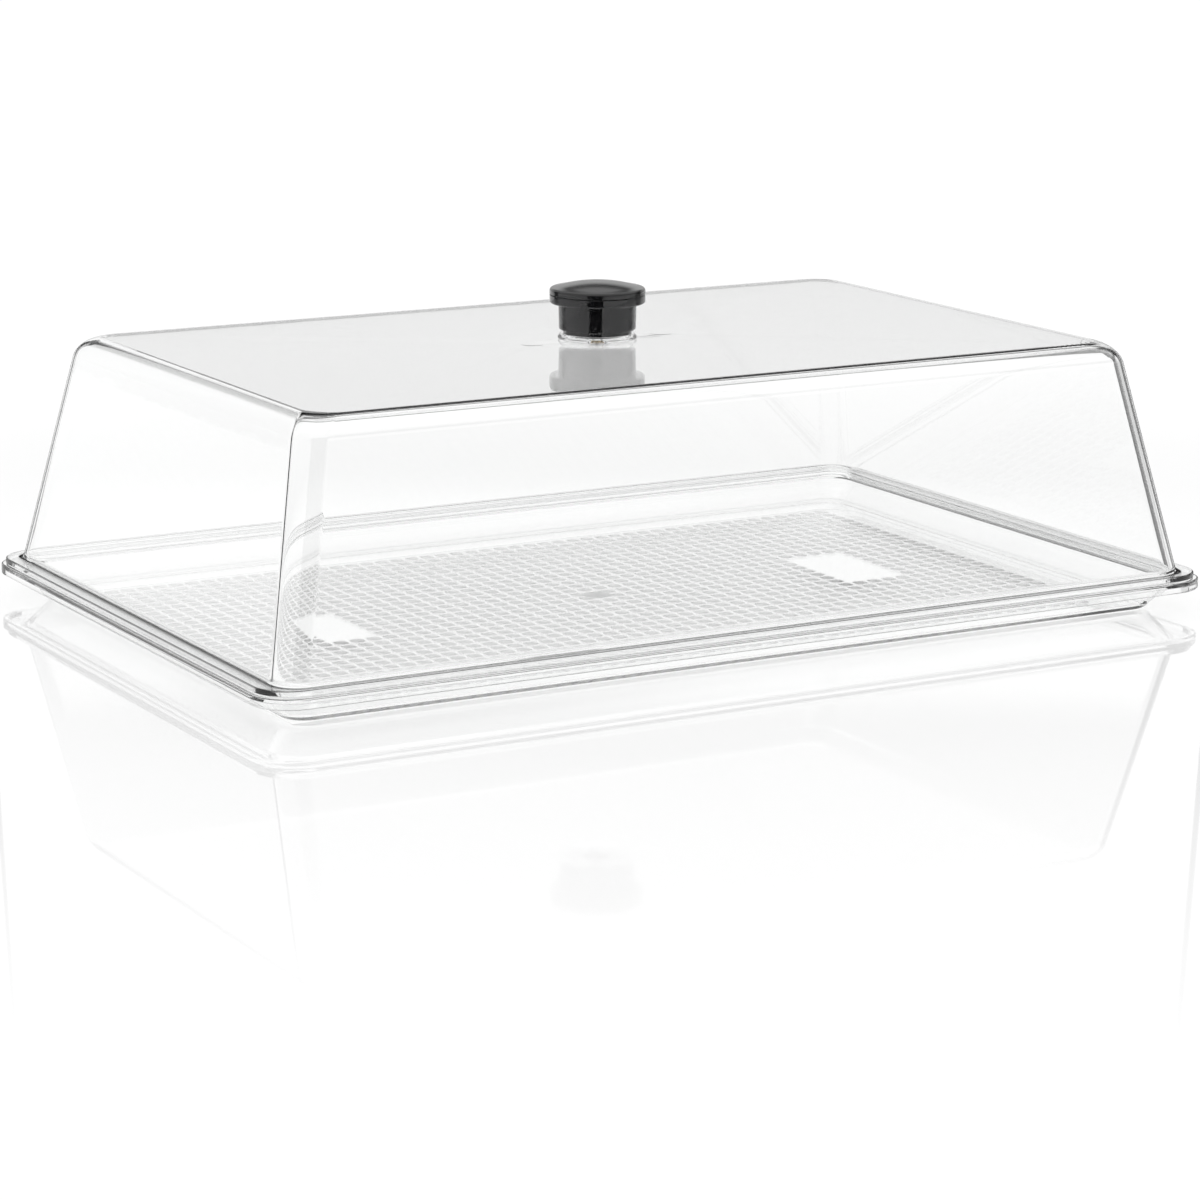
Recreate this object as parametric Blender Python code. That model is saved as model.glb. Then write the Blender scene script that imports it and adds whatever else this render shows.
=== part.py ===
"""Clear rectangular display tray with a lift-off clear dome cover and a black knob.

Frame: metres, +Z up, origin under the middle of the tray, +X along the long side.
"""
import math

import bmesh
import bpy

MM = 0.001

# Tray, sizes in mm
TRAY_LENGTH = 530.0
TRAY_WIDTH = 345.0
TRAY_CORNER = 20.0
CORNER_SHRINK = 0.4
RIM_TOP = 17.0
RIM_BOTTOM = 11.5
RIM_WIDTH = 11.0
LIP_WALL = 2.6
RIM_THICK = 2.6
FLOOR_THICK = 3.0
WALL_THICK = 2.8
WALL_RUN = 12.0
FLOOR_FILLET = 5.0
FOOT_FILLET = 3.0
EDGE_ROUND = 0.8

# Cover, sizes in mm and draft in degrees
COVER_TOP = 136.8
COVER_TOP_LENGTH = 461.0
COVER_TOP_WIDTH = 280.5
COVER_WALL = 3.0
COVER_DRAFT = 11.5
COVER_TOP_FILLET = 13.0
COVER_BASE_FILLET = 3.0
COVER_CORNER = 14.0
FLANGE_THICK = 2.7
FLANGE_INSET = 2.0
SPIGOT_DEPTH = 2.4
SPIGOT_WALL = 2.2
KNOB_HOLE = 7.0

# Knob, sizes in mm; each rise is a height above the cover's top
HEAD_DIA = 48.8
STEM_DIA = 39.8
STEM_TAPER = 0.3
FOOT_DIA = 34.8
FOOT_HEIGHT = 3.4
STEM_RISE = 18.5
SEAM_RISE = 22.7
SHOULDER_RISE = 26.1
CROWN_RISE = 29.6
SHOULDER_ROUND = 1.6
SHOULDER_SWEEP = 75.0
PLUG_DIA = 22.0
PLUG_DEPTH = 3.0

# Clear seat ring under the knob, sizes in mm
SEAT_DIA = 40.2
SEAT_TOP_DIA = 37.4
SEAT_HEIGHT = 3.0
SEAT_FLOOR = 1.0

# Low fixing hardware inside the cover, sizes in mm
INSERT_DIA = 9.0
INSERT_LENGTH = 11.0
SCREW_DIA = 5.0
SCREW_HEAD_DIA = 9.5
SCREW_HEAD_HEIGHT = 1.5
HEAD_ROUND = 0.5
SLOT_WIDTH = 1.2
SLOT_DEPTH = 0.7
WASHER_DIA = 14.0
WASHER_THICK = 0.6

# Fits, sizes in mm
REST_GAP = 0.3
SIDE_GAP = 0.3
LOCATE_GAP = 0.6

# Facets and shading
CORNER_STEPS = 8
ROUND_STEPS = 48
ARC_STEPS = 5
THREAD_STEPS = 24
SMOOTH_ANGLE = math.radians(35.0)
WELD = 0.000001

# Directions round an arc, in degrees
RIGHT = 0.0
UP = 90.0
LEFT = 180.0
DOWN = 270.0

# Heights and slopes that follow from the sizes
STEM_TOP = COVER_TOP + STEM_RISE
HEAD_SEAM = COVER_TOP + SEAM_RISE
HEAD_SHOULDER = COVER_TOP + SHOULDER_RISE
CROWN = COVER_TOP + CROWN_RISE
WALL_ANGLE = math.atan2(WALL_RUN, RIM_TOP - FLOOR_THICK)
WALL_SHIFT = WALL_THICK / math.cos(WALL_ANGLE)
DRAFT = math.radians(COVER_DRAFT)
FLANGE_BOTTOM = RIM_TOP + REST_GAP
FLANGE_TOP = FLANGE_BOTTOM + FLANGE_THICK
COVER_RUN = (COVER_TOP - FLANGE_TOP) * math.tan(DRAFT)
SEAT_BOTTOM = COVER_TOP + REST_GAP
FOOT_BOTTOM = SEAT_BOTTOM + SEAT_FLOOR + REST_GAP
STEM_BOTTOM = FOOT_BOTTOM + FOOT_HEIGHT
INSERT_BORE = INSERT_DIA / 2 + SIDE_GAP
INSERT_TOP = FOOT_BOTTOM + INSERT_LENGTH
SCREW_BORE = SCREW_DIA / 2 + SIDE_GAP
WASHER_TOP = COVER_TOP - COVER_WALL - REST_GAP
WASHER_BOTTOM = WASHER_TOP - WASHER_THICK
SCREW_SEAT = WASHER_BOTTOM - REST_GAP


def clear_scene():
    for obj in list(bpy.data.objects):
        bpy.data.objects.remove(obj, do_unlink=True)


def material(name, color, roughness, metallic=0.0, alpha=1.0):
    mat = bpy.data.materials.new(name)
    mat.use_nodes = True
    shader = mat.node_tree.nodes["Principled BSDF"]
    shader.inputs["Base Color"].default_value = (*color, 1.0)
    shader.inputs["Roughness"].default_value = roughness
    shader.inputs["Metallic"].default_value = metallic
    shader.inputs["Alpha"].default_value = alpha
    return mat


def arc(center_x, center_z, radius, start, end, steps=ARC_STEPS):
    """Profile points on an arc, angles in degrees."""
    points = []
    for i in range(steps + 1):
        angle = math.radians(start + (end - start) * i / steps)
        points.append((center_x + radius * math.cos(angle), center_z + radius * math.sin(angle)))
    return points


def rounded_ring(half_x, half_y, radius, z):
    """Corner points of a rounded rectangle, anticlockwise seen from above."""
    points = []
    corners = ((1, 1, RIGHT), (-1, 1, UP), (-1, -1, LEFT), (1, -1, DOWN))
    for side_x, side_y, start in corners:
        center = (side_x * (half_x - radius), side_y * (half_y - radius))
        points += [(x, y, z) for x, y in arc(*center, radius, start, start + UP, CORNER_STEPS)]
    return points


def circle_ring(radius, z, count):
    """Points of a circle that starts half a step round, as the rounded rings do."""
    half_step = 180.0 / count
    points = arc(0.0, 0.0, radius, half_step, 360.0 - half_step, count - 1)
    return [(x, y, z) for x, y in points]


def add_piece(bm, name, mat, origin, parent=None):
    """Turn a finished bmesh into a piece whose origin is at a height on the middle axis."""
    bmesh.ops.translate(bm, verts=bm.verts, vec=(0.0, 0.0, -origin * MM))
    bmesh.ops.recalc_face_normals(bm, faces=bm.faces)
    mesh = bpy.data.meshes.new(name)
    bm.to_mesh(mesh)
    bm.free()
    mesh.materials.append(mat)
    mesh.shade_smooth()
    mesh.set_sharp_from_angle(angle=SMOOTH_ANGLE)
    obj = bpy.data.objects.new(name, mesh)
    bpy.context.scene.collection.objects.link(obj)
    obj.parent = parent
    obj.location.z = origin * MM - (parent.location.z if parent else 0.0)
    return obj


def loft(rings, closed):
    """Skin a list of equal rings: closed into a tube, or capped flat at both ends."""
    bm = bmesh.new()
    loops = []
    for ring in rings:
        loops.append([bm.verts.new((x * MM, y * MM, z * MM)) for x, y, z in ring])
    pairs = list(zip(loops, loops[1:]))
    if closed:
        pairs.append((loops[-1], loops[0]))
    for lower, upper in pairs:
        for i in range(len(lower)):
            j = (i + 1) % len(lower)
            bm.faces.new((lower[i], lower[j], upper[j], upper[i]))
    if not closed:
        bm.faces.new(list(reversed(loops[0])))
        bm.faces.new(loops[-1])
    return bm


def turned(profile, closed, steps=ROUND_STEPS):
    """Spin a (radius, height) profile about the knob axis: a closed one, or one with both ends on the axis."""
    bm = bmesh.new()
    verts = [bm.verts.new((radius * MM, 0.0, z * MM)) for radius, z in profile]
    ends = verts[1:] + verts[:1] if closed else verts[1:]
    edges = [bm.edges.new(pair) for pair in zip(verts, ends)]
    bmesh.ops.spin(
        bm, geom=verts + edges, cent=(0.0, 0.0, 0.0), axis=(0.0, 0.0, 1.0), angle=2.0 * math.pi, steps=steps
    )
    bmesh.ops.remove_doubles(bm, verts=bm.verts, dist=WELD)
    return bm


def cut_box(target, size, height, parent):
    """Cut a box out of a piece, centred on the knob axis at a height."""
    bm = bmesh.new()
    bmesh.ops.create_cube(bm, size=MM)
    bmesh.ops.scale(bm, verts=bm.verts, vec=size)
    mesh = bpy.data.meshes.new(target.name + "_cutter")
    bm.to_mesh(mesh)
    bm.free()
    cutter = bpy.data.objects.new(target.name + "_cutter", mesh)
    bpy.context.scene.collection.objects.link(cutter)
    cutter.parent = parent
    cutter.location.z = height * MM - parent.location.z
    cutter.hide_render = True
    cutter.display_type = "WIRE"
    modifier = target.modifiers.new("slot", "BOOLEAN")
    modifier.operation = "DIFFERENCE"
    modifier.solver = "EXACT"
    modifier.object = cutter


def tray_ring(inset, z):
    """Outline of the tray at an inset from its outer edge."""
    corner = TRAY_CORNER - CORNER_SHRINK * inset
    return rounded_ring(TRAY_LENGTH / 2 - inset, TRAY_WIDTH / 2 - inset, corner, z)


def inner_wall(z):
    """Inset of the tray's inner wall surface at a height."""
    return RIM_WIDTH + (RIM_TOP - z) * math.tan(WALL_ANGLE)


def outer_wall(z):
    """Inset of the tray's outer wall surface at a height."""
    return inner_wall(z) - WALL_SHIFT


def wall_fillet(foot_inset, foot_z, radius):
    """Fillet between a flat floor and the sloped wall that leaves it at foot_inset."""
    slope = math.pi / 2 - WALL_ANGLE
    tangent = radius * math.tan(slope / 2)
    points = []
    for i in range(ARC_STEPS + 1):
        angle = slope * i / ARC_STEPS
        inset = foot_inset + tangent - radius * math.sin(angle)
        points.append((inset, foot_z + radius * (1 - math.cos(angle))))
    return points


def build_tray(mat):
    under_lip = RIM_TOP - RIM_THICK
    profile = wall_fillet(outer_wall(0.0), 0.0, FOOT_FILLET)
    profile.append((outer_wall(under_lip), under_lip))
    profile.append((LIP_WALL, under_lip))
    profile.append((LIP_WALL, RIM_BOTTOM))
    profile.append((EDGE_ROUND, RIM_BOTTOM))
    profile.append((0.0, RIM_BOTTOM + EDGE_ROUND))
    profile.append((0.0, RIM_TOP - EDGE_ROUND))
    profile.append((EDGE_ROUND, RIM_TOP))
    profile.append((RIM_WIDTH - EDGE_ROUND, RIM_TOP))
    profile.append((inner_wall(RIM_TOP - EDGE_ROUND), RIM_TOP - EDGE_ROUND))
    profile += list(reversed(wall_fillet(inner_wall(FLOOR_THICK), FLOOR_THICK, FLOOR_FILLET)))
    rings = [tray_ring(inset, z) for inset, z in profile]
    return add_piece(loft(rings, False), "tray", mat, 0.0)


def cover_ring(offset, z, radius):
    """Outline of the cover at an offset from the rectangle where its wall and top planes meet."""
    return rounded_ring(COVER_TOP_LENGTH / 2 + offset, COVER_TOP_WIDTH / 2 + offset, radius, z)


def top_fillet(thickness):
    """Fillet between the cover's top and wall, for the surface this far inside the outer one."""
    tangent = COVER_TOP_FILLET * math.tan((math.pi / 2 - DRAFT) / 2)
    return arc(-tangent, COVER_TOP - COVER_TOP_FILLET, COVER_TOP_FILLET - thickness, UP, COVER_DRAFT)


def base_fillet():
    """Fillet between the cover's wall and the top of its flange."""
    radius = COVER_BASE_FILLET
    tangent = radius * math.tan((math.pi / 2 - DRAFT) / 2)
    return arc(COVER_RUN + tangent, FLANGE_TOP + radius, radius, LEFT + COVER_DRAFT, DOWN)


def build_cover(mat, parent):
    inner_shift = COVER_WALL / math.cos(DRAFT)
    inner_corner = COVER_CORNER - COVER_WALL
    spigot_bottom = RIM_TOP - SPIGOT_DEPTH
    spigot = inner_wall(spigot_bottom) + LOCATE_GAP
    count = 4 * (CORNER_STEPS + 1)
    rings = [circle_ring(KNOB_HOLE / 2, COVER_TOP, count)]
    for offset, z in top_fillet(0.0) + base_fillet():
        rings.append(cover_ring(offset, z, COVER_CORNER))
    rings.append(tray_ring(FLANGE_INSET + EDGE_ROUND, FLANGE_TOP))
    rings.append(tray_ring(FLANGE_INSET, FLANGE_TOP - EDGE_ROUND))
    rings.append(tray_ring(FLANGE_INSET, FLANGE_BOTTOM))
    rings.append(tray_ring(RIM_WIDTH + LOCATE_GAP, FLANGE_BOTTOM))
    rings.append(tray_ring(spigot, spigot_bottom))
    rings.append(tray_ring(spigot + SPIGOT_WALL, spigot_bottom))
    rings.append(cover_ring(COVER_RUN - inner_shift, FLANGE_TOP, inner_corner))
    for offset, z in reversed(top_fillet(COVER_WALL)):
        rings.append(cover_ring(offset, z, inner_corner))
    rings.append(circle_ring(KNOB_HOLE / 2, COVER_TOP - COVER_WALL, count))
    return add_piece(loft(rings, True), "cover", mat, FLANGE_BOTTOM, parent)


def build_seat_ring(mat, parent):
    bore = KNOB_HOLE / 2
    recess = FOOT_DIA / 2 + SIDE_GAP
    top = SEAT_BOTTOM + SEAT_HEIGHT
    profile = [
        (bore, SEAT_BOTTOM),
        (SEAT_DIA / 2, SEAT_BOTTOM),
        (SEAT_DIA / 2, SEAT_BOTTOM + SEAT_FLOOR),
        (SEAT_TOP_DIA / 2, top),
        (recess, top),
        (recess, SEAT_BOTTOM + SEAT_FLOOR),
        (bore, SEAT_BOTTOM + SEAT_FLOOR),
    ]
    return add_piece(turned(profile, True), "seat_ring", mat, SEAT_BOTTOM, parent)


def build_knob_body(mat, parent):
    foot = FOOT_DIA / 2
    stem = STEM_DIA / 2
    head = HEAD_DIA / 2
    socket = PLUG_DIA / 2 + SIDE_GAP
    socket_floor = HEAD_SEAM - PLUG_DEPTH - REST_GAP
    bore_top = INSERT_TOP + REST_GAP
    profile = [
        (0.0, bore_top),
        (INSERT_BORE, bore_top),
        (INSERT_BORE, FOOT_BOTTOM),
        (foot - EDGE_ROUND, FOOT_BOTTOM),
        (foot, FOOT_BOTTOM + EDGE_ROUND),
        (foot, STEM_BOTTOM),
        (stem - EDGE_ROUND - STEM_TAPER, STEM_BOTTOM),
        (stem - STEM_TAPER, STEM_BOTTOM + EDGE_ROUND),
        (stem, STEM_TOP),
        (head - EDGE_ROUND, STEM_TOP),
        (head, STEM_TOP + EDGE_ROUND),
        (head, HEAD_SEAM),
        (socket, HEAD_SEAM),
        (socket, socket_floor),
        (0.0, socket_floor),
    ]
    return add_piece(turned(profile, False), "knob_body", mat, FOOT_BOTTOM, parent)


def build_knob_cap(mat, parent):
    head = HEAD_DIA / 2
    plug = PLUG_DIA / 2
    seam = HEAD_SEAM + REST_GAP
    bottom = seam - PLUG_DEPTH
    flat = head - SHOULDER_ROUND
    profile = [(0.0, bottom), (plug, bottom), (plug, seam), (head, seam)]
    profile += arc(flat, HEAD_SHOULDER - SHOULDER_ROUND, SHOULDER_ROUND, RIGHT, SHOULDER_SWEEP)
    edge_r, edge_z = profile[-1]
    for i in range(1, ARC_STEPS + 1):
        share = 1.0 - i / ARC_STEPS
        profile.append((edge_r * share, edge_z + (CROWN - edge_z) * (1.0 - share * share)))
    return add_piece(turned(profile, False), "knob_cap", mat, HEAD_SEAM, parent)


def build_insert(mat, parent):
    profile = [
        (SCREW_BORE, FOOT_BOTTOM),
        (INSERT_DIA / 2, FOOT_BOTTOM),
        (INSERT_DIA / 2, INSERT_TOP),
        (SCREW_BORE, INSERT_TOP),
    ]
    return add_piece(turned(profile, True, THREAD_STEPS), "knob_insert", mat, FOOT_BOTTOM, parent)


def build_washer(mat, parent):
    profile = [
        (SCREW_BORE, WASHER_BOTTOM),
        (WASHER_DIA / 2, WASHER_BOTTOM),
        (WASHER_DIA / 2, WASHER_TOP),
        (SCREW_BORE, WASHER_TOP),
    ]
    return add_piece(turned(profile, True), "washer", mat, WASHER_BOTTOM, parent)


def build_screw(mat, parent):
    head = SCREW_HEAD_DIA / 2
    head_bottom = SCREW_SEAT - SCREW_HEAD_HEIGHT
    tip = INSERT_TOP - REST_GAP
    profile = [
        (0.0, head_bottom),
        (head - HEAD_ROUND, head_bottom),
        (head, head_bottom + HEAD_ROUND),
        (head, SCREW_SEAT),
        (SCREW_DIA / 2, SCREW_SEAT),
        (SCREW_DIA / 2, tip),
        (0.0, tip),
    ]
    screw = add_piece(turned(profile, False, THREAD_STEPS), "screw", mat, SCREW_SEAT, parent)
    slot = (SCREW_HEAD_DIA + EDGE_ROUND, SLOT_WIDTH, 2.0 * SLOT_DEPTH)
    cut_box(screw, slot, head_bottom, parent)
    return screw


def main():
    clear_scene()
    clear = (0.93, 0.95, 0.95)
    black = (0.015, 0.015, 0.016)
    steel = (0.62, 0.62, 0.63)
    brass = (0.72, 0.52, 0.22)
    lift = bpy.data.objects.new("cover_lift", None)
    lift.location.z = FLANGE_BOTTOM * MM
    bpy.context.scene.collection.objects.link(lift)
    build_tray(material("clear_tray", clear, 0.08, alpha=0.3))
    build_cover(material("clear_cover", clear, 0.05, alpha=0.25), lift)
    build_seat_ring(material("clear_seat", clear, 0.1, alpha=0.4), lift)
    build_knob_body(material("black_knob", black, 0.2), lift)
    build_knob_cap(material("black_cap", black, 0.25), lift)
    build_insert(material("brass_insert", brass, 0.3, metallic=1.0), lift)
    build_washer(material("steel_washer", steel, 0.3, metallic=1.0), lift)
    build_screw(material("steel_screw", steel, 0.3, metallic=1.0), lift)


main()
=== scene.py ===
"""Clear display tray with a lift-off dome cover and a black knob, dressed for the photograph's view.

The frame is in metres. The object's sizes below are in millimetres, and the stage's are in metres.
"""
import math

import bmesh
import bpy
from mathutils import Matrix, Vector


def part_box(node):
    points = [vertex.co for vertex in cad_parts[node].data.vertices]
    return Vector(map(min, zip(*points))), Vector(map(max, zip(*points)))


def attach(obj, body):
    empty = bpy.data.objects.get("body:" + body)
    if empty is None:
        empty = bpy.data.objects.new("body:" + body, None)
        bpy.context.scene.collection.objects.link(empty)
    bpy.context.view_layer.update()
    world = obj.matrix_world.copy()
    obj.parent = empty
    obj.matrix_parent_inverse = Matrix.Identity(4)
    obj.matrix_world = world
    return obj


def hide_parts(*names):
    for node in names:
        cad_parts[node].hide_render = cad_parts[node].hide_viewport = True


MM = 0.001

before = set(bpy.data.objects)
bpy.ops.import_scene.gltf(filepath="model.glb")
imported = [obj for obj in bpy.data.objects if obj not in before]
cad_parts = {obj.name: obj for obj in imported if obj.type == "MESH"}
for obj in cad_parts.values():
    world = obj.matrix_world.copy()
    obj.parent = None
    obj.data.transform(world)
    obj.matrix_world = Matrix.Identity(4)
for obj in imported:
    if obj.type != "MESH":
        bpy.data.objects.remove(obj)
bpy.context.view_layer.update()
tray_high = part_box("tray")[1]
cover_low, cover_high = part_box("cover")
seat_low, seat_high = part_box("seat_ring")
body_low, body_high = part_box("knob_body")
cap_low, cap_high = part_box("knob_cap")

# Camera, fitted to the photograph's straight edges; angles in degrees
PHOTO_PX = 1200.0
FOCAL_PX = 3820.6
SENSOR_MM = 36.0
CAMERA_AZIMUTH = -29.60
CAMERA_ELEVATION = 12.95
CAMERA_ROLL = 0.23
CAMERA_DISTANCE = 1.9751
CAMERA_TARGET = Vector((0.0022, 0.0, 0.0))

# Tray, mm
TRAY_HALF_X = tray_high[0] / MM
TRAY_HALF_Y = tray_high[1] / MM
RIM_TOP = tray_high[2] / MM
TRAY_CORNER = 20.0
CORNER_SHRINK = 0.4
RIM_BOTTOM = 11.5
RIM_WIDTH = 11.0
LIP_WALL = 2.6
RIM_THICK = 2.6
FLOOR_THICK = 3.0
WALL_THICK = 2.8
WALL_RUN = 12.0
FLOOR_FILLET = 5.0
FOOT_FILLET = 3.0
EDGE_ROUND = 0.8

# Waffle floor, mm; each smooth patch in it runs from x to x and from y to y
CELL_X = 9.0
CELL_Y = 9.1
CELLS_X = 49
CELLS_Y = 28
CHANNEL = 2.1
PILLOW_STEPS = 8
PILLOW_HEIGHT = 0.35
PILLOW_SQUARE = 3.0
PATCHES = ((-171.0, -139.0, -31.0, 23.0), (134.0, 163.0, -34.0, 28.0))
GATE_RADIUS = 7.5

# Cover, mm and draft in degrees
COVER_TOP = cover_high[2] / MM
COVER_TOP_HALF_X = 230.5
COVER_TOP_HALF_Y = 140.25
COVER_WALL = 3.0
COVER_DRAFT = 11.5
TOP_FILLET = 13.0
BASE_FILLET = 3.0
COVER_CORNER = 14.0
FLANGE_THICK = 2.7
FLANGE_INSET = TRAY_HALF_X - cover_high[0] / MM
SPIGOT_BOTTOM = cover_low[2] / MM
SPIGOT_WALL = 2.2
KNOB_HOLE = 3.5
MARK_REACH = 37.6
MARK_RADIUS = 6.5
MARK_EDGE = 0.4
MARK_HEIGHT = 0.15

# Seat ring, mm
SEAT_FLOOR = 1.0
SEAT_TOP_RADIUS = 18.7
SEAT_ROUND = 0.4
SEAT_LIP_ROUND = 0.3

# Knob, mm; each rise is a height above the cover's top
FOOT_RADIUS = 17.4
FOOT_HEIGHT = 3.4
FOOT_ROUND = 0.4
STEM_RADIUS = 19.9
STEM_TAPER = 0.3
STEM_RISE = 18.5
NECK_ROUND = 0.6
HEAD_ROUND = 1.0
SEAM_ROUND = 0.25
SHOULDER_RISE = 26.1
SHOULDER_ROUND = 1.6
PLUG_RADIUS = 11.0
SOCKET_ROUND = 0.2
INSERT_BORE = 4.8
INSERT_ROOM = 11.3
HIDDEN_ROUND = 0.3

# Fits, mm
REST_GAP = 0.3
SIDE_GAP = 0.3
LOCATE_GAP = 0.6

# Facets
CORNER_STEPS = 16
FILLET_STEPS = 10
EDGE_STEPS = 4
CROWN_STEPS = 12
ROUND_STEPS = 128
SMOOTH_ANGLE = math.radians(32.0)

# Heights and slopes that follow from the sizes
WALL_ANGLE = math.atan2(WALL_RUN, RIM_TOP - FLOOR_THICK)
WALL_SHIFT = WALL_THICK / math.cos(WALL_ANGLE)
DRAFT = math.radians(COVER_DRAFT)
FLANGE_BOTTOM = RIM_TOP + REST_GAP
FLANGE_TOP = FLANGE_BOTTOM + FLANGE_THICK
COVER_RUN = (COVER_TOP - FLANGE_TOP) * math.tan(DRAFT)
STEM_TOP = COVER_TOP + STEM_RISE
SHOULDER = COVER_TOP + SHOULDER_RISE


# Shapes


def arc(center_x, center_z, radius, start, end, steps):
    """Profile points on an arc, angles in degrees."""
    points = []
    for i in range(steps + 1):
        angle = math.radians(start + (end - start) * i / steps)
        points.append((center_x + radius * math.cos(angle), center_z + radius * math.sin(angle)))
    return points


def rounded_profile(corners):
    """A profile of (x, z, radius) corners, each rounded by an arc of its radius."""
    points = []
    for i, (x, z, radius) in enumerate(corners):
        here = Vector((x, z))
        if radius == 0.0:
            points.append((x, z))
            continue
        before = (Vector(corners[i - 1][:2]) - here).normalized()
        after = (Vector(corners[(i + 1) % len(corners)][:2]) - here).normalized()
        half = before.angle(after) / 2
        center = here + (before + after).normalized() * (radius / math.sin(half))
        first = here + before * (radius / math.tan(half)) - center
        turn = first.angle_signed(here + after * (radius / math.tan(half)) - center)
        for k in range(EDGE_STEPS + 1):
            spoke = first.copy()
            spoke.rotate(Matrix.Rotation(-turn * k / EDGE_STEPS, 2))
            points.append(tuple(center + spoke))
    return points


def rounded_ring(half_x, half_y, radius, z):
    """Points of a rounded rectangle, anticlockwise seen from above."""
    points = []
    for side_x, side_y, start in ((1, 1, 0), (-1, 1, 90), (-1, -1, 180), (1, -1, 270)):
        center_x = side_x * (half_x - radius)
        center_y = side_y * (half_y - radius)
        for x, y in arc(center_x, center_y, radius, start, start + 90, CORNER_STEPS):
            points.append((x, y, z))
    return points


def circle_ring(radius, z, count):
    """Points of a circle, anticlockwise seen from above."""
    return [(x, y, z) for x, y in arc(0.0, 0.0, radius, 0.0, 360.0 * (count - 1) / count, count - 1)]


def add_rings(bm, rings, closed):
    """Skins a list of equal rings and returns the rings' vertices."""
    loops = [[bm.verts.new(Vector(point) * MM) for point in ring] for ring in rings]
    pairs = list(zip(loops, loops[1:]))
    if closed:
        pairs.append((loops[-1], loops[0]))
    for lower, upper in pairs:
        for i in range(len(lower)):
            j = (i + 1) % len(lower)
            bm.faces.new((lower[i], lower[j], upper[j], upper[i]))
    return loops


def fill_between(bm, loops):
    """Fills the flat area between an outer loop of vertices and the loops inside it."""
    edges = []
    for loop in loops:
        for a, b in zip(loop, loop[1:] + loop[:1]):
            edges.append(bm.edges.get((a, b)))
    bmesh.ops.triangle_fill(bm, edges=edges, use_beauty=True)


def finish_piece(bm, name, mat, body, node):
    """Turns a bmesh into a smooth shaded piece that stands for a CAD node and rides on its body."""
    bmesh.ops.recalc_face_normals(bm, faces=bm.faces)
    mesh = bpy.data.meshes.new(name)
    bm.to_mesh(mesh)
    bm.free()
    mesh.materials.append(mat)
    mesh.shade_smooth()
    mesh.set_sharp_from_angle(angle=SMOOTH_ANGLE)
    obj = bpy.data.objects.new(name, mesh)
    bpy.context.scene.collection.objects.link(obj)
    weighted = obj.modifiers.new("flat faces stay flat", "WEIGHTED_NORMAL")
    weighted.keep_sharp = True
    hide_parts(node)
    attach(obj, body)
    return obj


# Materials

PLASTIC_IOR = 1.57
CLEAR = (0.997, 0.999, 0.998)
GRAINED = (1.0, 1.0, 1.0)
GATE_GREY = (0.78, 0.785, 0.785)
BLACK = (0.004, 0.004, 0.0045)
BRASS_YELLOW = (0.72, 0.52, 0.22)
STEEL_GREY = (0.8, 0.8, 0.81)


def new_material(name):
    mat = bpy.data.materials.new(name)
    mat.use_nodes = True
    return mat, mat.node_tree.nodes, mat.node_tree.links, mat.node_tree.nodes["Principled BSDF"]


def noise_range(nodes, links, scale, low, high, stretch=(1.0, 1.0, 1.0)):
    """A noise value between two limits, in object coordinates."""
    coords = nodes.new("ShaderNodeTexCoord")
    mapping = nodes.new("ShaderNodeMapping")
    mapping.inputs["Scale"].default_value = stretch
    noise = nodes.new("ShaderNodeTexNoise")
    noise.inputs["Scale"].default_value = scale
    noise.inputs["Detail"].default_value = 4.0
    span = nodes.new("ShaderNodeMapRange")
    span.inputs["To Min"].default_value = low
    span.inputs["To Max"].default_value = high
    links.new(coords.outputs["Object"], mapping.inputs["Vector"])
    links.new(mapping.outputs["Vector"], noise.inputs["Vector"])
    links.new(noise.outputs["Fac"], span.inputs["Value"])
    return span.outputs["Result"]


def add_bump(nodes, links, shader, height, strength, distance):
    bump = nodes.new("ShaderNodeBump")
    bump.inputs["Strength"].default_value = strength
    bump.inputs["Distance"].default_value = distance
    links.new(height, bump.inputs["Height"])
    links.new(bump.outputs["Normal"], shader.inputs["Normal"])


def clear_plastic(name, roughness_low, roughness_high, color=CLEAR):
    """Clear moulded plastic with a faint waviness and a slightly uneven polish."""
    mat, nodes, links, shader = new_material(name)
    shader.inputs["Base Color"].default_value = (*color, 1.0)
    shader.inputs["Transmission Weight"].default_value = 1.0
    shader.inputs["IOR"].default_value = PLASTIC_IOR
    polish = noise_range(nodes, links, scale=60.0, low=roughness_low, high=roughness_high)
    links.new(polish, shader.inputs["Roughness"])
    waves = noise_range(nodes, links, scale=9.0, low=0.0, high=1.0)
    add_bump(nodes, links, shader, waves, strength=0.03, distance=0.002)
    return mat


def black_gloss(name, roughness_low, roughness_high):
    """Black moulded resin, polished, with faint flow marks."""
    mat, nodes, links, shader = new_material(name)
    shader.inputs["Base Color"].default_value = (*BLACK, 1.0)
    shader.inputs["IOR"].default_value = PLASTIC_IOR
    polish = noise_range(nodes, links, scale=90.0, low=roughness_low, high=roughness_high)
    links.new(polish, shader.inputs["Roughness"])
    grain = noise_range(nodes, links, scale=400.0, low=0.0, high=1.0)
    add_bump(nodes, links, shader, grain, strength=0.02, distance=0.0002)
    return mat


def turned_metal(name, color):
    """Turned metal with fine rings round the knob's axis."""
    mat, nodes, links, shader = new_material(name)
    shader.inputs["Base Color"].default_value = (*color, 1.0)
    shader.inputs["Metallic"].default_value = 1.0
    rings = noise_range(nodes, links, scale=30.0, low=0.22, high=0.4, stretch=(1.0, 1.0, 60.0))
    links.new(rings, shader.inputs["Roughness"])
    add_bump(nodes, links, shader, rings, strength=0.15, distance=0.0002)
    return mat


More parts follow.
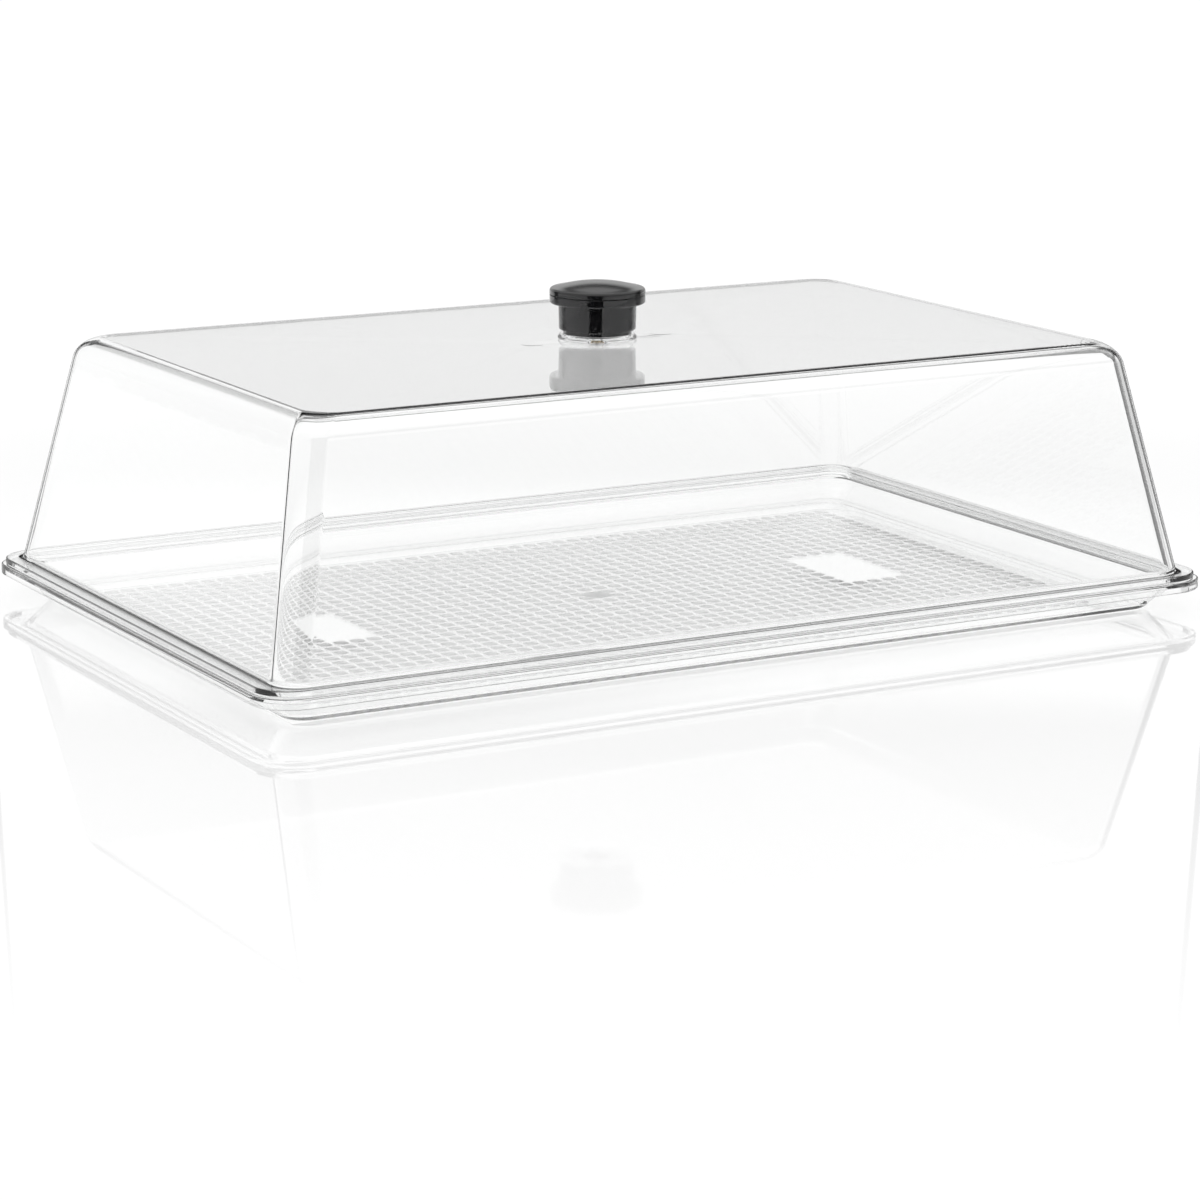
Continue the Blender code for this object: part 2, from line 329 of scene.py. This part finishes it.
TRAY_PLASTIC = clear_plastic("tray clear plastic", 0.0, 0.02)
WAFFLE_PLASTIC = clear_plastic("tray grained plastic", 0.28, 0.36, GRAINED)
GATE_PLASTIC = clear_plastic("tray gate mark plastic", 0.3, 0.4, GATE_GREY)
COVER_PLASTIC = clear_plastic("cover clear plastic", 0.0, 0.01)
SEAT_PLASTIC = clear_plastic("seat ring clear plastic", 0.0, 0.02)
KNOB_PLASTIC = black_gloss("knob black plastic", 0.04, 0.09)
CAP_PLASTIC = black_gloss("cap black plastic", 0.16, 0.2)
BRASS = turned_metal("insert brass", BRASS_YELLOW)
STEEL = turned_metal("washer and screw steel", STEEL_GREY)


# Tray

SMOOTH_SLOT, GRAINED_SLOT, GATE_SLOT = range(3)


def tray_ring(inset, z):
    """Outline of the tray at an inset from its outer edge."""
    corner = TRAY_CORNER - CORNER_SHRINK * inset
    return rounded_ring(TRAY_HALF_X - inset, TRAY_HALF_Y - inset, corner, z)


def inner_wall(z):
    """Inset of the inner wall surface at a height."""
    return RIM_WIDTH + (RIM_TOP - z) * math.tan(WALL_ANGLE)


def outer_wall(z):
    """Inset of the outer wall surface at a height."""
    return inner_wall(z) - WALL_SHIFT


def wall_fillet(foot_inset, foot_z, radius):
    """Fillet between a flat floor and the sloped wall that leaves it at foot_inset."""
    slope = math.pi / 2 - WALL_ANGLE
    tangent = radius * math.tan(slope / 2)
    points = []
    for i in range(FILLET_STEPS + 1):
        angle = slope * i / FILLET_STEPS
        inset = foot_inset + tangent - radius * math.sin(angle)
        points.append((inset, foot_z + radius * (1 - math.cos(angle))))
    return points


def cell_places(cell, count):
    """Grid lines across the waffle: equal steps over each pillow, and one step over each channel."""
    places = [-cell * count / 2]
    for i in range(count):
        start = cell * (i - count / 2) + CHANNEL / 2
        places += [start + (cell - CHANNEL) * k / PILLOW_STEPS for k in range(PILLOW_STEPS + 1)]
    places.append(cell * count / 2)
    return places


def pillow_place(value, cell, count):
    """The middle of a place's cell, and the place's share of the way from there to the pillow's edge."""
    middle = cell * (math.floor(value / cell + count / 2) + 0.5 - count / 2)
    return middle, abs(value - middle) * 2 / (cell - CHANNEL)


def waffle_cell(x, y):
    """How far a place is across its pillow and along it; nothing on the patches and the gate mark."""
    middle_x, across = pillow_place(x, CELL_X, CELLS_X)
    middle_y, along = pillow_place(y, CELL_Y, CELLS_Y)
    if any(x0 < middle_x < x1 and y0 < middle_y < y1 for x0, x1, y0, y1 in PATCHES):
        return None
    if math.hypot(middle_x, middle_y) < GATE_RADIUS:
        return None
    return across, along


def waffle_height(x, y):
    """Height of the waffle's pillows: full in the middle of a cell and nothing along the channels."""
    cell = waffle_cell(x, y)
    if cell is None or max(cell) > 1.0:
        return 0.0
    across, along = cell
    return PILLOW_HEIGHT * (1.0 - across * across) * (1.0 - along * along)


def waffle_finish(x, y):
    """Which of the tray's plastics a place has: the pillows are grained, with round corners."""
    if math.hypot(x, y) < GATE_RADIUS:
        return GATE_SLOT
    cell = waffle_cell(x, y)
    if cell is None:
        return SMOOTH_SLOT
    across, along = cell
    if across ** PILLOW_SQUARE + along ** PILLOW_SQUARE < 1.0:
        return GRAINED_SLOT
    return SMOOTH_SLOT


def add_waffle_floor(bm, edge_loop):
    """Fills the tray's floor with a margin and a field of shallow grained pillows."""
    grid = []
    for y in cell_places(CELL_Y, CELLS_Y):
        line = []
        for x in cell_places(CELL_X, CELLS_X):
            line.append(bm.verts.new(Vector((x, y, FLOOR_THICK + waffle_height(x, y))) * MM))
        grid.append(line)
    for low, high in zip(grid, grid[1:]):
        for i in range(len(low) - 1):
            face = bm.faces.new((low[i], low[i + 1], high[i + 1], high[i]))
            middle = face.calc_center_median() / MM
            face.material_index = waffle_finish(middle.x, middle.y)
    right_side = [line[-1] for line in grid[1:]]
    left_side = [line[0] for line in grid[-2:0:-1]]
    border = grid[0] + right_side + grid[-1][-2::-1] + left_side
    fill_between(bm, (edge_loop, border))


def build_tray():
    under_lip = RIM_TOP - RIM_THICK
    profile = wall_fillet(outer_wall(0.0), 0.0, FOOT_FILLET)
    lip = [
        (outer_wall(0.0), 0.0, 0.0),
        (outer_wall(under_lip), under_lip, EDGE_ROUND),
        (LIP_WALL, under_lip, EDGE_ROUND / 2),
        (LIP_WALL, RIM_BOTTOM, EDGE_ROUND / 2),
        (0.0, RIM_BOTTOM, EDGE_ROUND),
        (0.0, RIM_TOP, EDGE_ROUND),
        (RIM_WIDTH, RIM_TOP, EDGE_ROUND),
        (inner_wall(FLOOR_THICK), FLOOR_THICK, 0.0),
    ]
    profile += rounded_profile(lip)[1:-1]
    profile += list(reversed(wall_fillet(inner_wall(FLOOR_THICK), FLOOR_THICK, FLOOR_FILLET)))
    bm = bmesh.new()
    loops = add_rings(bm, [tray_ring(inset, z) for inset, z in profile], False)
    bm.faces.new(list(reversed(loops[0])))
    add_waffle_floor(bm, loops[-1])
    tray = finish_piece(bm, "clear_tray_piece", TRAY_PLASTIC, "tray", "tray")
    tray.data.materials.append(WAFFLE_PLASTIC)
    tray.data.materials.append(GATE_PLASTIC)


# Cover


def cover_ring(offset, z, radius):
    """Outline of the cover at an offset from the rectangle where its wall and top planes meet."""
    return rounded_ring(COVER_TOP_HALF_X + offset, COVER_TOP_HALF_Y + offset, radius, z)


def top_fillet(thickness):
    """Fillet between the cover's top and wall, for the surface this far inside the outer one."""
    tangent = TOP_FILLET * math.tan((math.pi / 2 - DRAFT) / 2)
    return arc(-tangent, COVER_TOP - TOP_FILLET, TOP_FILLET - thickness, 90.0, COVER_DRAFT, FILLET_STEPS)


def base_fillet():
    """Fillet between the cover's wall and the top of its flange."""
    tangent = BASE_FILLET * math.tan((math.pi / 2 - DRAFT) / 2)
    center = COVER_RUN + tangent
    return arc(center, FLANGE_TOP + BASE_FILLET, BASE_FILLET, 180.0 + COVER_DRAFT, 270.0, FILLET_STEPS)


def add_marked_top(bm, edge_loop, hole_loop, count):
    """Fills the cover's top round the knob hole, with a low round moulding mark on each side of it."""
    loops = [edge_loop, hole_loop]
    for side in (-1, 1):
        rings = []
        for radius, z in ((MARK_RADIUS, COVER_TOP), (MARK_RADIUS - MARK_EDGE, COVER_TOP + MARK_HEIGHT)):
            rings.append([(x + side * MARK_REACH, y, z) for x, y, z in circle_ring(radius, z, count)])
        low, high = add_rings(bm, rings, False)
        bm.faces.new(high)
        loops.append(low)
    fill_between(bm, loops)


def build_cover():
    inner_shift = COVER_WALL / math.cos(DRAFT)
    inner_corner = COVER_CORNER - COVER_WALL
    spigot = inner_wall(SPIGOT_BOTTOM) + LOCATE_GAP
    count = 4 * (CORNER_STEPS + 1)
    rings = []
    for offset, z in top_fillet(0.0) + base_fillet():
        rings.append(cover_ring(offset, z, COVER_CORNER))
    flange = [
        (RIM_WIDTH, FLANGE_TOP, 0.0),
        (FLANGE_INSET, FLANGE_TOP, EDGE_ROUND),
        (FLANGE_INSET, FLANGE_BOTTOM, EDGE_ROUND / 2),
        (RIM_WIDTH + LOCATE_GAP, FLANGE_BOTTOM, EDGE_ROUND / 4),
        (spigot, SPIGOT_BOTTOM, EDGE_ROUND / 2),
        (spigot + SPIGOT_WALL, SPIGOT_BOTTOM, EDGE_ROUND / 2),
        (spigot + SPIGOT_WALL, FLANGE_TOP, 0.0),
    ]
    for inset, z in rounded_profile(flange)[1:-1]:
        rings.append(tray_ring(inset, z))
    rings.append(cover_ring(COVER_RUN - inner_shift, FLANGE_TOP, inner_corner))
    for offset, z in reversed(top_fillet(COVER_WALL)):
        rings.append(cover_ring(offset, z, inner_corner))
    rings.append(circle_ring(KNOB_HOLE, COVER_TOP - COVER_WALL, count))
    rings.append(circle_ring(KNOB_HOLE, COVER_TOP, count))
    bm = bmesh.new()
    loops = add_rings(bm, rings, False)
    add_marked_top(bm, loops[0], loops[-1], count)
    finish_piece(bm, "clear_cover_piece", COVER_PLASTIC, "cover", "cover")


# Knob


def turned_piece(name, corners, closed, mat, node):
    """A piece turned about the knob's axis from a rounded profile."""
    bm = bmesh.new()
    rings = [circle_ring(radius, z, ROUND_STEPS) for radius, z in rounded_profile(corners)]
    loops = add_rings(bm, rings, closed)
    if not closed:
        bm.faces.new(list(reversed(loops[0])))
        bm.faces.new(loops[-1])
    finish_piece(bm, name, mat, "cover", node)


def build_seat_ring():
    low = seat_low[2] / MM
    high = seat_high[2] / MM
    outer = seat_high[0] / MM
    recess = FOOT_RADIUS + SIDE_GAP
    corners = [
        (KNOB_HOLE, low, 0.0),
        (outer, low, SEAT_ROUND),
        (outer, low + SEAT_FLOOR, SEAT_ROUND),
        (SEAT_TOP_RADIUS, high, SEAT_LIP_ROUND),
        (recess, high, SEAT_LIP_ROUND),
        (recess, low + SEAT_FLOOR, SOCKET_ROUND),
        (KNOB_HOLE, low + SEAT_FLOOR, 0.0),
    ]
    turned_piece("clear_seat_piece", corners, True, SEAT_PLASTIC, "seat_ring")


def build_knob_body():
    low = body_low[2] / MM
    seam = body_high[2] / MM
    head = body_high[0] / MM
    socket = PLUG_RADIUS + SIDE_GAP
    socket_floor = cap_low[2] / MM - 2 * REST_GAP
    stem_low = low + FOOT_HEIGHT
    corners = [
        (INSERT_BORE, low + INSERT_ROOM, 0.0),
        (INSERT_BORE, low, HIDDEN_ROUND),
        (FOOT_RADIUS, low, EDGE_ROUND),
        (FOOT_RADIUS, stem_low, FOOT_ROUND),
        (STEM_RADIUS - STEM_TAPER, stem_low, EDGE_ROUND),
        (STEM_RADIUS, STEM_TOP, NECK_ROUND),
        (head, STEM_TOP, HEAD_ROUND),
        (head, seam, SEAM_ROUND),
        (socket, seam, SOCKET_ROUND),
        (socket, socket_floor, 0.0),
    ]
    turned_piece("black_knob_body_piece", corners, False, KNOB_PLASTIC, "knob_body")


def build_knob_cap():
    low = cap_low[2] / MM
    top = cap_high[2] / MM
    head = cap_high[0] / MM
    seam = body_high[2] / MM + REST_GAP
    corners = [
        (PLUG_RADIUS, low, HIDDEN_ROUND),
        (PLUG_RADIUS, seam, 0.0),
        (head, seam, SEAM_ROUND),
        (head, SHOULDER, SHOULDER_ROUND),
    ]
    for i in range(CROWN_STEPS):
        share = 1.0 - (i + 1) / (CROWN_STEPS + 1)
        radius = (head - SHOULDER_ROUND) * share
        corners.append((radius, SHOULDER + (top - SHOULDER) * (1.0 - share * share), 0.0))
    turned_piece("black_knob_cap_piece", corners, False, CAP_PLASTIC, "knob_cap")


def dress_fixing():
    """Gives the knob's hidden fixing, which keeps its CAD shapes, the finish of turned metal."""
    for node, metal in (("knob_insert", BRASS), ("washer", STEEL), ("screw", STEEL)):
        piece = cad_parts[node]
        piece.data.materials.clear()
        piece.data.materials.append(metal)


build_tray()
build_cover()
build_seat_ring()
build_knob_body()
build_knob_cap()
dress_fixing()


# Stage

WHITE = 1.0

# What reflections show, by elevation in degrees: a backdrop, a dark band and a ceiling
FAR_TO = 10.5
FAR_LEVEL = 0.72
BACKDROP_FROM = 12.5
BACKDROP_TOP = 20.0
DARK_FROM = 23.0
DARK_TO = 28.0
DARK_LEVEL = 0.05
CEILING_FROM = 33.0

# What reflections seen through a wall show, by elevation in degrees: a bright strip
BEHIND_LEVEL = 0.78
STRIP_LOW = 11.5
STRIP_HIGH = 14.1
STRIP_FADE = 0.5
THROUGH_TOP = 22.0
THROUGH_LEVEL = 0.6

# What the plastic bends into view, by elevation in degrees: white up to the horizon and a dark room
HORIZON = 0.0
ROOM_FROM = 1.0
ROOM_LEVEL = 0.03

# A pale wall to one side: its direction, and the least cosine to it that still meets the wall
SIDE_WALL = (-0.87, 0.49, 0.0)
SIDE_FROM = 0.4
SIDE_LEVEL = 0.85

# Light on the table, the surfaces that light passes in one wall, and the most bounces
FILL_LEVEL = 1.075
ONE_WALL = 2
LIGHT_BOUNCES = 24

# Table, metres
FLOOR_SIZE = 12.0
FLOOR_DROP = 0.0003
GLOSS_NEAR = 0.30
GLOSS_FAR = 0.80

# Soft box over the table, metres and watts
SOFT_BOX_PLACE = Vector((0.0, 0.3, 1.8))
SOFT_BOX_SIZE = (1.6, 1.2)
SOFT_BOX_POWER = 1.5

# Side flags in the camera's space, metres; their spread is a share of the distance
FLAG_SPREAD = 0.162
FLAG_LOW = -0.3
FLAG_HIGH = 0.4
FLAG_BACK = 0.2
LEFT_FLAG_FRONT = 0.045
RIGHT_FLAG_FRONT = 0.02
FLAG_LEVEL = 0.05

# Black card in the camera's space, metres
CARD_AHEAD = 0.5
CARD_LEFT = -0.21
CARD_RIGHT = 0.12
CARD_LOW = -0.25
CARD_HIGH = 0.2
CARD_LEVEL = 0.0


def math_node(nodes, links, operation, first, second):
    """A math node that takes one output and a second output or a number."""
    node = nodes.new("ShaderNodeMath")
    node.operation = operation
    links.new(first, node.inputs[0])
    if isinstance(second, bpy.types.NodeSocket):
        links.new(second, node.inputs[1])
    else:
        node.inputs[1].default_value = second
    return node.outputs[0]


def vector_node(nodes, links, operation, first, second=(0.0, 0.0, 0.0)):
    """A vector math node that takes one output and, where its operation has two, a constant vector."""
    node = nodes.new("ShaderNodeVectorMath")
    node.operation = operation
    links.new(first, node.inputs[0])
    node.inputs[1].default_value = second
    return node


def elevation_ramp(nodes, links, height, stops):
    """Brightness of the surroundings by elevation, from (degrees, level) stops."""
    ramp = nodes.new("ShaderNodeValToRGB")
    elements = ramp.color_ramp.elements
    while len(elements) < len(stops):
        elements.new(1.0)
    for element, (degrees, level) in zip(elements, stops):
        element.position = math.sin(math.radians(degrees))
        element.color = (level, level, level, 1.0)
    links.new(height, ramp.inputs["Fac"])
    return ramp.outputs["Color"]


def grey(nodes, level):
    color = nodes.new("ShaderNodeRGB")
    color.outputs[0].default_value = (level, level, level, 1.0)
    return color.outputs[0]


def has_met(nodes, links, path, depth, more_than=0):
    """1 for light that has met more than so many surfaces of a kind on its way."""
    return math_node(nodes, links, "GREATER_THAN", path.outputs[depth], more_than + 0.5)


def seen_through_wall(nodes, links, path):
    """1 for a reflection whose light has also passed more than one wall."""
    reflected = has_met(nodes, links, path, "Glossy Depth")
    refracted = has_met(nodes, links, path, "Transmission Depth", ONE_WALL)
    return math_node(nodes, links, "MULTIPLY", reflected, refracted)


def build_world():
    """White to the camera, and a studio of bright and dark bands to what the object mirrors and bends."""
    world = bpy.data.worlds.new("studio")
    bpy.context.scene.world = world
    world.use_nodes = True
    world.cycles.sampling_method = "NONE"
    nodes = world.node_tree.nodes
    links = world.node_tree.links
    direction = nodes.new("ShaderNodeTexCoord").outputs["Generated"]
    split = nodes.new("ShaderNodeSeparateXYZ")
    links.new(direction, split.inputs["Vector"])
    height = split.outputs["Z"]
    backdrop = [(FAR_TO, FAR_LEVEL), (BACKDROP_FROM, WHITE), (BACKDROP_TOP, WHITE)]
    ceiling = [(DARK_FROM, DARK_LEVEL), (DARK_TO, DARK_LEVEL), (CEILING_FROM, WHITE)]
    mirrored = elevation_ramp(nodes, links, height, backdrop + ceiling)
    strip = [(STRIP_LOW - STRIP_FADE, BEHIND_LEVEL), (STRIP_LOW, WHITE)]
    strip += [(STRIP_HIGH, WHITE), (STRIP_HIGH + STRIP_FADE, THROUGH_LEVEL)]
    tinted = [(THROUGH_TOP, THROUGH_LEVEL), (DARK_TO, WHITE)]
    mirrored_through = elevation_ramp(nodes, links, height, strip + tinted)
    sideways = vector_node(nodes, links, "DOT_PRODUCT", direction, SIDE_WALL).outputs["Value"]
    at_side = math_node(nodes, links, "GREATER_THAN", sideways, SIDE_FROM)
    path = nodes.new("ShaderNodeLightPath")
    reflected = has_met(nodes, links, path, "Glossy Depth")
    layers = (
        (reflected, mirrored),
        (seen_through_wall(nodes, links, path), mirrored_through),
        (math_node(nodes, links, "MULTIPLY", reflected, at_side), grey(nodes, SIDE_LEVEL)),
        (has_met(nodes, links, path, "Diffuse Depth"), grey(nodes, FILL_LEVEL)),
        (path.outputs["Is Camera Ray"], grey(nodes, WHITE)),
    )
    result = elevation_ramp(nodes, links, height, [(HORIZON, WHITE), (ROOM_FROM, ROOM_LEVEL)])
    for factor, level in layers:
        mix = nodes.new("ShaderNodeMix")
        mix.data_type = "RGBA"
        links.new(factor, mix.inputs["Factor"])
        links.new(result, mix.inputs["A"])
        links.new(level, mix.inputs["B"])
        result = mix.outputs["Result"]
    links.new(result, nodes["Background"].inputs["Color"])


def plane(name, corners, mat):
    mesh = bpy.data.meshes.new(name)
    mesh.from_pydata(corners, [], [(0, 1, 2, 3)])
    mesh.materials.append(mat)
    obj = bpy.data.objects.new(name, mesh)
    bpy.context.scene.collection.objects.link(obj)
    return obj


def build_floor():
    """White table whose polish starts at the tray's foot and fades out away from it."""
    mat, nodes, links, shader = new_material("pale floor")
    shader.inputs["Base Color"].default_value = (0.95, 0.95, 0.95, 1.0)
    shader.inputs["Roughness"].default_value = 0.6
    shader.inputs["Specular IOR Level"].default_value = 0.0
    shader.inputs["Coat IOR"].default_value = 1.8
    shader.inputs["Coat Roughness"].default_value = 0.03
    place = nodes.new("ShaderNodeTexCoord").outputs["Object"]
    fade = nodes.new("ShaderNodeMapRange")
    fade.inputs["From Min"].default_value = GLOSS_NEAR
    fade.inputs["From Max"].default_value = GLOSS_FAR
    fade.inputs["To Min"].default_value = 1.0
    fade.inputs["To Max"].default_value = 0.0
    links.new(vector_node(nodes, links, "LENGTH", place).outputs["Value"], fade.inputs["Value"])
    inset = outer_wall(0.0)
    foot = ((TRAY_HALF_X - inset) * MM, (TRAY_HALF_Y - inset) * MM, 0.0)
    side = vector_node(nodes, links, "ABSOLUTE", place).outputs["Vector"]
    past_foot = nodes.new("ShaderNodeSeparateXYZ")
    links.new(vector_node(nodes, links, "SUBTRACT", side, foot).outputs["Vector"], past_foot.inputs["Vector"])
    most = math_node(nodes, links, "MAXIMUM", past_foot.outputs["X"], past_foot.outputs["Y"])
    outside = math_node(nodes, links, "GREATER_THAN", most, 0.0)
    polish = math_node(nodes, links, "MULTIPLY", fade.outputs["Result"], outside)
    links.new(polish, shader.inputs["Coat Weight"])
    sides = ((-1, -1), (1, -1), (1, 1), (-1, 1))
    plane("floor", [(x * FLOOR_SIZE, y * FLOOR_SIZE, -FLOOR_DROP) for x, y in sides], mat)


def build_light():
    """One soft box above the tray, aimed at the middle of its foot."""
    name = "overhead soft box"
    data = bpy.data.lights.new(name, "AREA")
    data.shape = "RECTANGLE"
    data.size, data.size_y = SOFT_BOX_SIZE
    data.energy = SOFT_BOX_POWER
    light = bpy.data.objects.new(name, data)
    light.location = SOFT_BOX_PLACE
    light.rotation_euler = (-SOFT_BOX_PLACE).to_track_quat("-Z", "Y").to_euler()
    bpy.context.scene.collection.objects.link(light)


def flag_material(name, level, clear_through_wall):
    """Dark on its front, clear from behind, to the table's light and, where asked, through a wall."""
    mat, nodes, links, shader = new_material(name)
    nodes.remove(shader)
    dark = nodes.new("ShaderNodeEmission")
    dark.inputs["Strength"].default_value = level
    clear = nodes.new("ShaderNodeBsdfTransparent")
    path = nodes.new("ShaderNodeLightPath")
    factors = [
        nodes.new("ShaderNodeNewGeometry").outputs["Backfacing"],
        has_met(nodes, links, path, "Diffuse Depth"),
    ]
    if clear_through_wall:
        factors.append(seen_through_wall(nodes, links, path))
    result = dark.outputs[0]
    for factor in factors:
        mix = nodes.new("ShaderNodeMixShader")
        links.new(factor, mix.inputs[0])
        links.new(result, mix.inputs[1])
        links.new(clear.outputs[0], mix.inputs[2])
        result = mix.outputs[0]
    links.new(result, nodes["Material Output"].inputs["Surface"])
    return mat


def add_flag(name, corners, mat, camera):
    """A flag in the camera's own space that only reflections and refractions can see."""
    flag = plane(name, corners, mat)
    flag.parent = camera
    flag.visible_camera = False
    flag.visible_diffuse = False
    flag.visible_shadow = False


def build_flags(camera):
    """Dark flags just out of shot draw the plastic's edges; a card below the lens draws the knob's stripe."""
    mat = flag_material("dark flag", FLAG_LEVEL, True)
    for side, name, front in ((-1, "left_flag", LEFT_FLAG_FRONT), (1, "right_flag", RIGHT_FLAG_FRONT)):
        outline = ((FLAG_LOW, front), (FLAG_HIGH, front), (FLAG_HIGH, FLAG_BACK), (FLAG_LOW, FLAG_BACK))
        corners = []
        for up, behind in outline:
            depth = CAMERA_DISTANCE + behind
            corners.append((side * FLAG_SPREAD * depth, up, -depth))
        facing_in = corners[::side]
        add_flag(name, facing_in, mat, camera)
    depth = CAMERA_DISTANCE - CARD_AHEAD
    sides = ((CARD_LEFT, CARD_LOW), (CARD_LEFT, CARD_HIGH), (CARD_RIGHT, CARD_HIGH), (CARD_RIGHT, CARD_LOW))
    card = [(x, y, -depth) for x, y in sides]
    add_flag("front_card", card, flag_material("black card", CARD_LEVEL, False), camera)


def build_camera():
    """Camera at the photograph's place, turned by its azimuth, elevation and slight roll."""
    azimuth = math.radians(CAMERA_AZIMUTH)
    elevation = math.radians(CAMERA_ELEVATION)
    roll = math.radians(CAMERA_ROLL)
    away = math.cos(elevation)
    back = Vector((math.sin(azimuth) * away, -math.cos(azimuth) * away, math.sin(elevation)))
    right = Vector((math.cos(azimuth), math.sin(azimuth), 0.0))
    up = back.cross(right)
    leaning_right = right * math.cos(roll) + up * math.sin(roll)
    leaning_up = up * math.cos(roll) - right * math.sin(roll)
    data = bpy.data.cameras.new("camera")
    data.sensor_width = SENSOR_MM
    data.lens = FOCAL_PX / PHOTO_PX * SENSOR_MM
    camera = bpy.data.objects.new("camera", data)
    turn = Matrix((leaning_right, leaning_up, back)).transposed().to_4x4()
    camera.matrix_world = Matrix.Translation(CAMERA_TARGET + back * CAMERA_DISTANCE) @ turn
    bpy.context.scene.collection.objects.link(camera)
    bpy.context.scene.camera = camera
    return camera


build_world()
build_floor()
build_light()
build_flags(build_camera())
bpy.context.scene.view_settings.view_transform = "Standard"
bpy.context.scene.cycles.blur_glossy = 0.0
bpy.context.scene.cycles.max_bounces = LIGHT_BOUNCES
bpy.context.scene.cycles.transmission_bounces = LIGHT_BOUNCES
bpy.context.scene.cycles.glossy_bounces = LIGHT_BOUNCES
